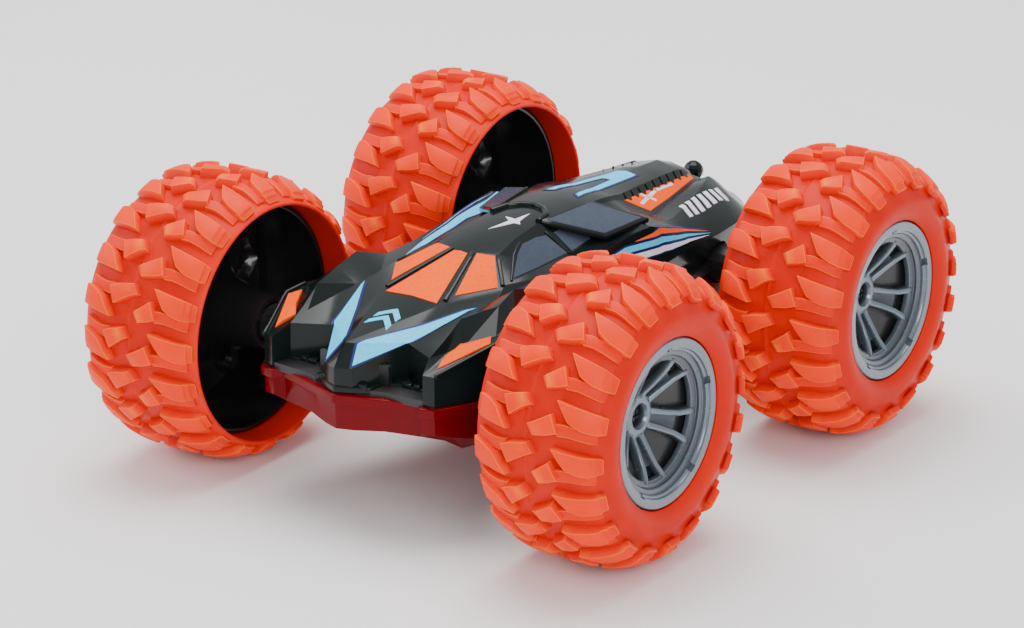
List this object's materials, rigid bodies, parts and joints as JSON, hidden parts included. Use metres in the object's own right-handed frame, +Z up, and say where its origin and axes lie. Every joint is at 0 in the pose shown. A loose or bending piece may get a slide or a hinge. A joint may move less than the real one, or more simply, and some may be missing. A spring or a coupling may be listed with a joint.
{
  "type": "radio-controlled stunt car",
  "caption": "Double-sided toy stunt car: a low body between two mirrored shells, on wide lugged balloon tyres with deep open drums, geared together along each side.",
  "frame": {"origin": "on the ground under the middle of the car", "axes": "+Z up, -Y towards the nose, +X towards the left side of the car"},
  "size_m": [0.1616, 0.1806, 0.075],
  "materials": {
    "tyre_orange": "soft moulded tyre rubber, satin",
    "drum_black": "semi-gloss moulded plastic",
    "rim_grey": "painted silver-grey plastic, satin gloss",
    "shell_black": "high-gloss moulded plastic",
    "shell_red": "gloss moulded plastic",
    "chassis_black": "satin moulded plastic",
    "steel": "zinc-plated steel",
    "gear_white": "plain moulded nylon",
    "bush_cream": "plain moulded acetal",
    "battery_blue": "shrink sleeve over a steel can",
    "board_green": "green solder mask",
    "switch_black": "satin moulded plastic"
  },
  "bodies": {
    "body": {"axle_bush_front_left": "bush_cream", "axle_bush_front_right": "bush_cream", "axle_bush_rear_left": "bush_cream", "axle_bush_rear_right": "bush_cream", "battery_cell": "battery_blue", "chassis_frame": "chassis_black", "circuit_board": "board_green", "gear_plate_left": "chassis_black", "gear_plate_right": "chassis_black", "lower_shell": "shell_red", "motor_left": "steel", "motor_right": "steel", "shell_screw_front_left": "steel", "shell_screw_front_right": "steel", "shell_screw_rear_left": "steel", "shell_screw_rear_right": "steel", "switch_body": "steel", "tail_ball": "shell_black", "upper_shell": "shell_black"},
    "wheel_front_left": {"axle_front_left": "steel", "axle_gear_front_left": "gear_white", "hub_screw_front_left": "steel", "rim_front_left": "rim_grey", "tyre_front_left": "tyre_orange", "wheel_drum_front_left": "drum_black"},
    "wheel_front_right": {"axle_front_right": "steel", "axle_gear_front_right": "gear_white", "hub_screw_front_right": "steel", "rim_front_right": "rim_grey", "tyre_front_right": "tyre_orange", "wheel_drum_front_right": "drum_black"},
    "wheel_rear_left": {"axle_gear_rear_left": "gear_white", "axle_rear_left": "steel", "hub_screw_rear_left": "steel", "rim_rear_left": "rim_grey", "tyre_rear_left": "tyre_orange", "wheel_drum_rear_left": "drum_black"},
    "wheel_rear_right": {"axle_gear_rear_right": "gear_white", "axle_rear_right": "steel", "hub_screw_rear_right": "steel", "rim_rear_right": "rim_grey", "tyre_rear_right": "tyre_orange", "wheel_drum_rear_right": "drum_black"},
    "battery_hatch": {"battery_door": "shell_red", "battery_door_screw": "steel"},
    "idler_1_left": {"idler_gear_1_left": "gear_white"},
    "idler_1_right": {"idler_gear_1_right": "gear_white"},
    "idler_2_left": {"idler_gear_2_left": "gear_white"},
    "idler_2_right": {"idler_gear_2_right": "gear_white"},
    "idler_3_left": {"idler_gear_3_left": "gear_white"},
    "idler_3_right": {"idler_gear_3_right": "gear_white"},
    "idler_4_left": {"idler_gear_4_left": "gear_white"},
    "idler_4_right": {"idler_gear_4_right": "gear_white"},
    "idler_5_left": {"idler_gear_5_left": "gear_white"},
    "idler_5_right": {"idler_gear_5_right": "gear_white"},
    "pinion_left": {"motor_pinion_left": "gear_white"},
    "pinion_right": {"motor_pinion_right": "gear_white"},
    "power_knob": {"switch_knob": "switch_black"}
  },
  "joints": [
    {"name": "spin_front_left", "type": "hinge", "parent": "body", "child": "wheel_front_left", "pos_m": [0.06115, -0.0528, 0.0375], "axis": [1, 0, 0], "continuous": true},
    {"name": "spin_rear_left", "type": "hinge", "parent": "body", "child": "wheel_rear_left", "pos_m": [0.06115, 0.0528, 0.0375], "axis": [1, 0, 0], "continuous": true},
    {"name": "idle_1_left", "type": "hinge", "parent": "body", "child": "idler_1_left", "pos_m": [0.0155, -0.0352, 0.0375], "axis": [1, 0, 0], "continuous": true},
    {"name": "idle_2_left", "type": "hinge", "parent": "body", "child": "idler_2_left", "pos_m": [0.0155, -0.0176, 0.0375], "axis": [1, 0, 0], "continuous": true},
    {"name": "idle_3_left", "type": "hinge", "parent": "body", "child": "idler_3_left", "pos_m": [0.0155, 0, 0.0375], "axis": [1, 0, 0], "continuous": true},
    {"name": "idle_4_left", "type": "hinge", "parent": "body", "child": "idler_4_left", "pos_m": [0.0155, 0.0176, 0.0375], "axis": [1, 0, 0], "continuous": true},
    {"name": "idle_5_left", "type": "hinge", "parent": "body", "child": "idler_5_left", "pos_m": [0.0155, 0.0352, 0.0375], "axis": [1, 0, 0], "continuous": true},
    {"name": "pinion_spin_left", "type": "hinge", "parent": "body", "child": "pinion_left", "pos_m": [0.0125, -0.01203, 0.04188], "axis": [1, 0, 0], "continuous": true},
    {"name": "spin_front_right", "type": "hinge", "parent": "body", "child": "wheel_front_right", "pos_m": [-0.06115, -0.0528, 0.0375], "axis": [1, 0, 0], "continuous": true},
    {"name": "spin_rear_right", "type": "hinge", "parent": "body", "child": "wheel_rear_right", "pos_m": [-0.06115, 0.0528, 0.0375], "axis": [1, 0, 0], "continuous": true},
    {"name": "idle_1_right", "type": "hinge", "parent": "body", "child": "idler_1_right", "pos_m": [-0.0155, -0.0352, 0.0375], "axis": [1, 0, 0], "continuous": true},
    {"name": "idle_2_right", "type": "hinge", "parent": "body", "child": "idler_2_right", "pos_m": [-0.0155, -0.0176, 0.0375], "axis": [1, 0, 0], "continuous": true},
    {"name": "idle_3_right", "type": "hinge", "parent": "body", "child": "idler_3_right", "pos_m": [-0.0155, 0, 0.0375], "axis": [1, 0, 0], "continuous": true},
    {"name": "idle_4_right", "type": "hinge", "parent": "body", "child": "idler_4_right", "pos_m": [-0.0155, 0.0176, 0.0375], "axis": [1, 0, 0], "continuous": true},
    {"name": "idle_5_right", "type": "hinge", "parent": "body", "child": "idler_5_right", "pos_m": [-0.0155, 0.0352, 0.0375], "axis": [1, 0, 0], "continuous": true},
    {"name": "pinion_spin_right", "type": "hinge", "parent": "body", "child": "pinion_right", "pos_m": [-0.0125, 0.01203, 0.03312], "axis": [1, 0, 0], "continuous": true},
    {"name": "battery_hatch_hinge", "type": "hinge", "parent": "body", "child": "battery_hatch", "pos_m": [0, -0.0712, 0.0268], "axis": [-1, 0, 0], "range_deg": [0, 75]},
    {"name": "power_knob_slide", "type": "slide", "parent": "body", "child": "power_knob", "axis": [0, 1, 0], "range_m": [0, 0.0022]}
  ],
  "couplings": [
    {"joint": "spin_front_left", "follows": "spin_rear_left", "ratio": 1},
    {"joint": "idle_1_left", "follows": "spin_rear_left", "ratio": -1},
    {"joint": "idle_2_left", "follows": "spin_rear_left", "ratio": 1},
    {"joint": "idle_3_left", "follows": "spin_rear_left", "ratio": -1},
    {"joint": "idle_4_left", "follows": "spin_rear_left", "ratio": 1},
    {"joint": "idle_5_left", "follows": "spin_rear_left", "ratio": -1},
    {"joint": "pinion_spin_left", "follows": "spin_rear_left", "ratio": 3},
    {"joint": "spin_front_right", "follows": "spin_rear_right", "ratio": 1},
    {"joint": "idle_1_right", "follows": "spin_rear_right", "ratio": -1},
    {"joint": "idle_2_right", "follows": "spin_rear_right", "ratio": 1},
    {"joint": "idle_3_right", "follows": "spin_rear_right", "ratio": -1},
    {"joint": "idle_4_right", "follows": "spin_rear_right", "ratio": 1},
    {"joint": "idle_5_right", "follows": "spin_rear_right", "ratio": -1},
    {"joint": "pinion_spin_right", "follows": "spin_rear_right", "ratio": 3}
  ]
}
